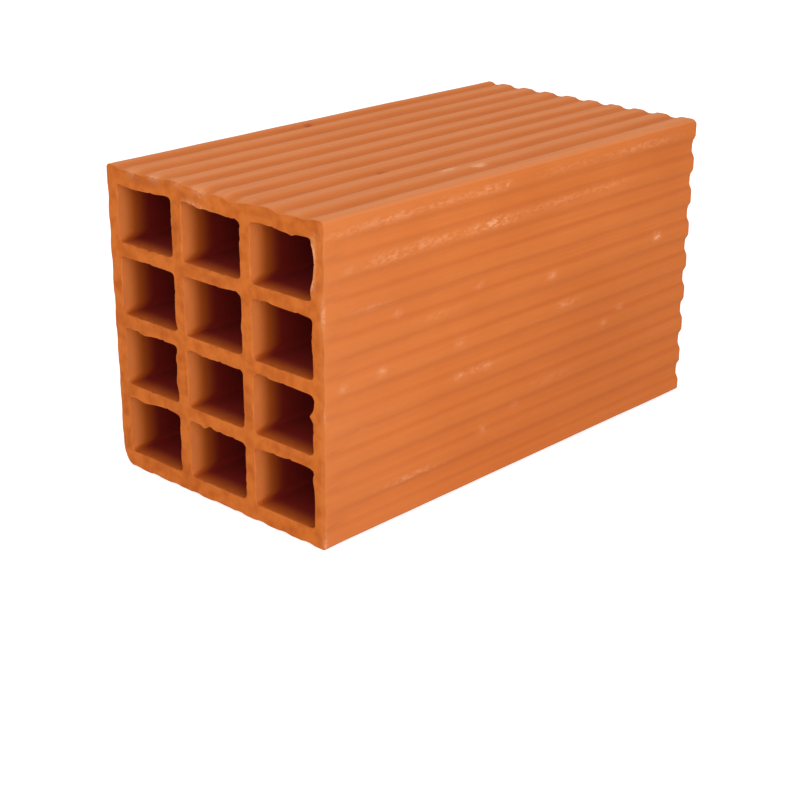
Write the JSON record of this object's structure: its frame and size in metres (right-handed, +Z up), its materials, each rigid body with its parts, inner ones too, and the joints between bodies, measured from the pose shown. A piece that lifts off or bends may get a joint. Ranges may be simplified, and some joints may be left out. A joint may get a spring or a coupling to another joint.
{
  "type": "hollow clay brick",
  "caption": "Hollow fired-clay brick: a long block with a grid of through cells, and ridges along its beds and sides that key mortar and plaster.",
  "frame": {"origin": "middle of the underside, the bed face that the brick rests on", "axes": "+Y along the cells, the brick's length, +X across its width, +Z up through its height"},
  "size_m": [0.175, 0.332, 0.184],
  "materials": {
    "fired_clay": "matt unglazed fired clay, orange-red, with pale dusty scuffs"
  },
  "bodies": {
    "root": {"hollow_brick": "fired_clay"}
  },
  "joints": []
}
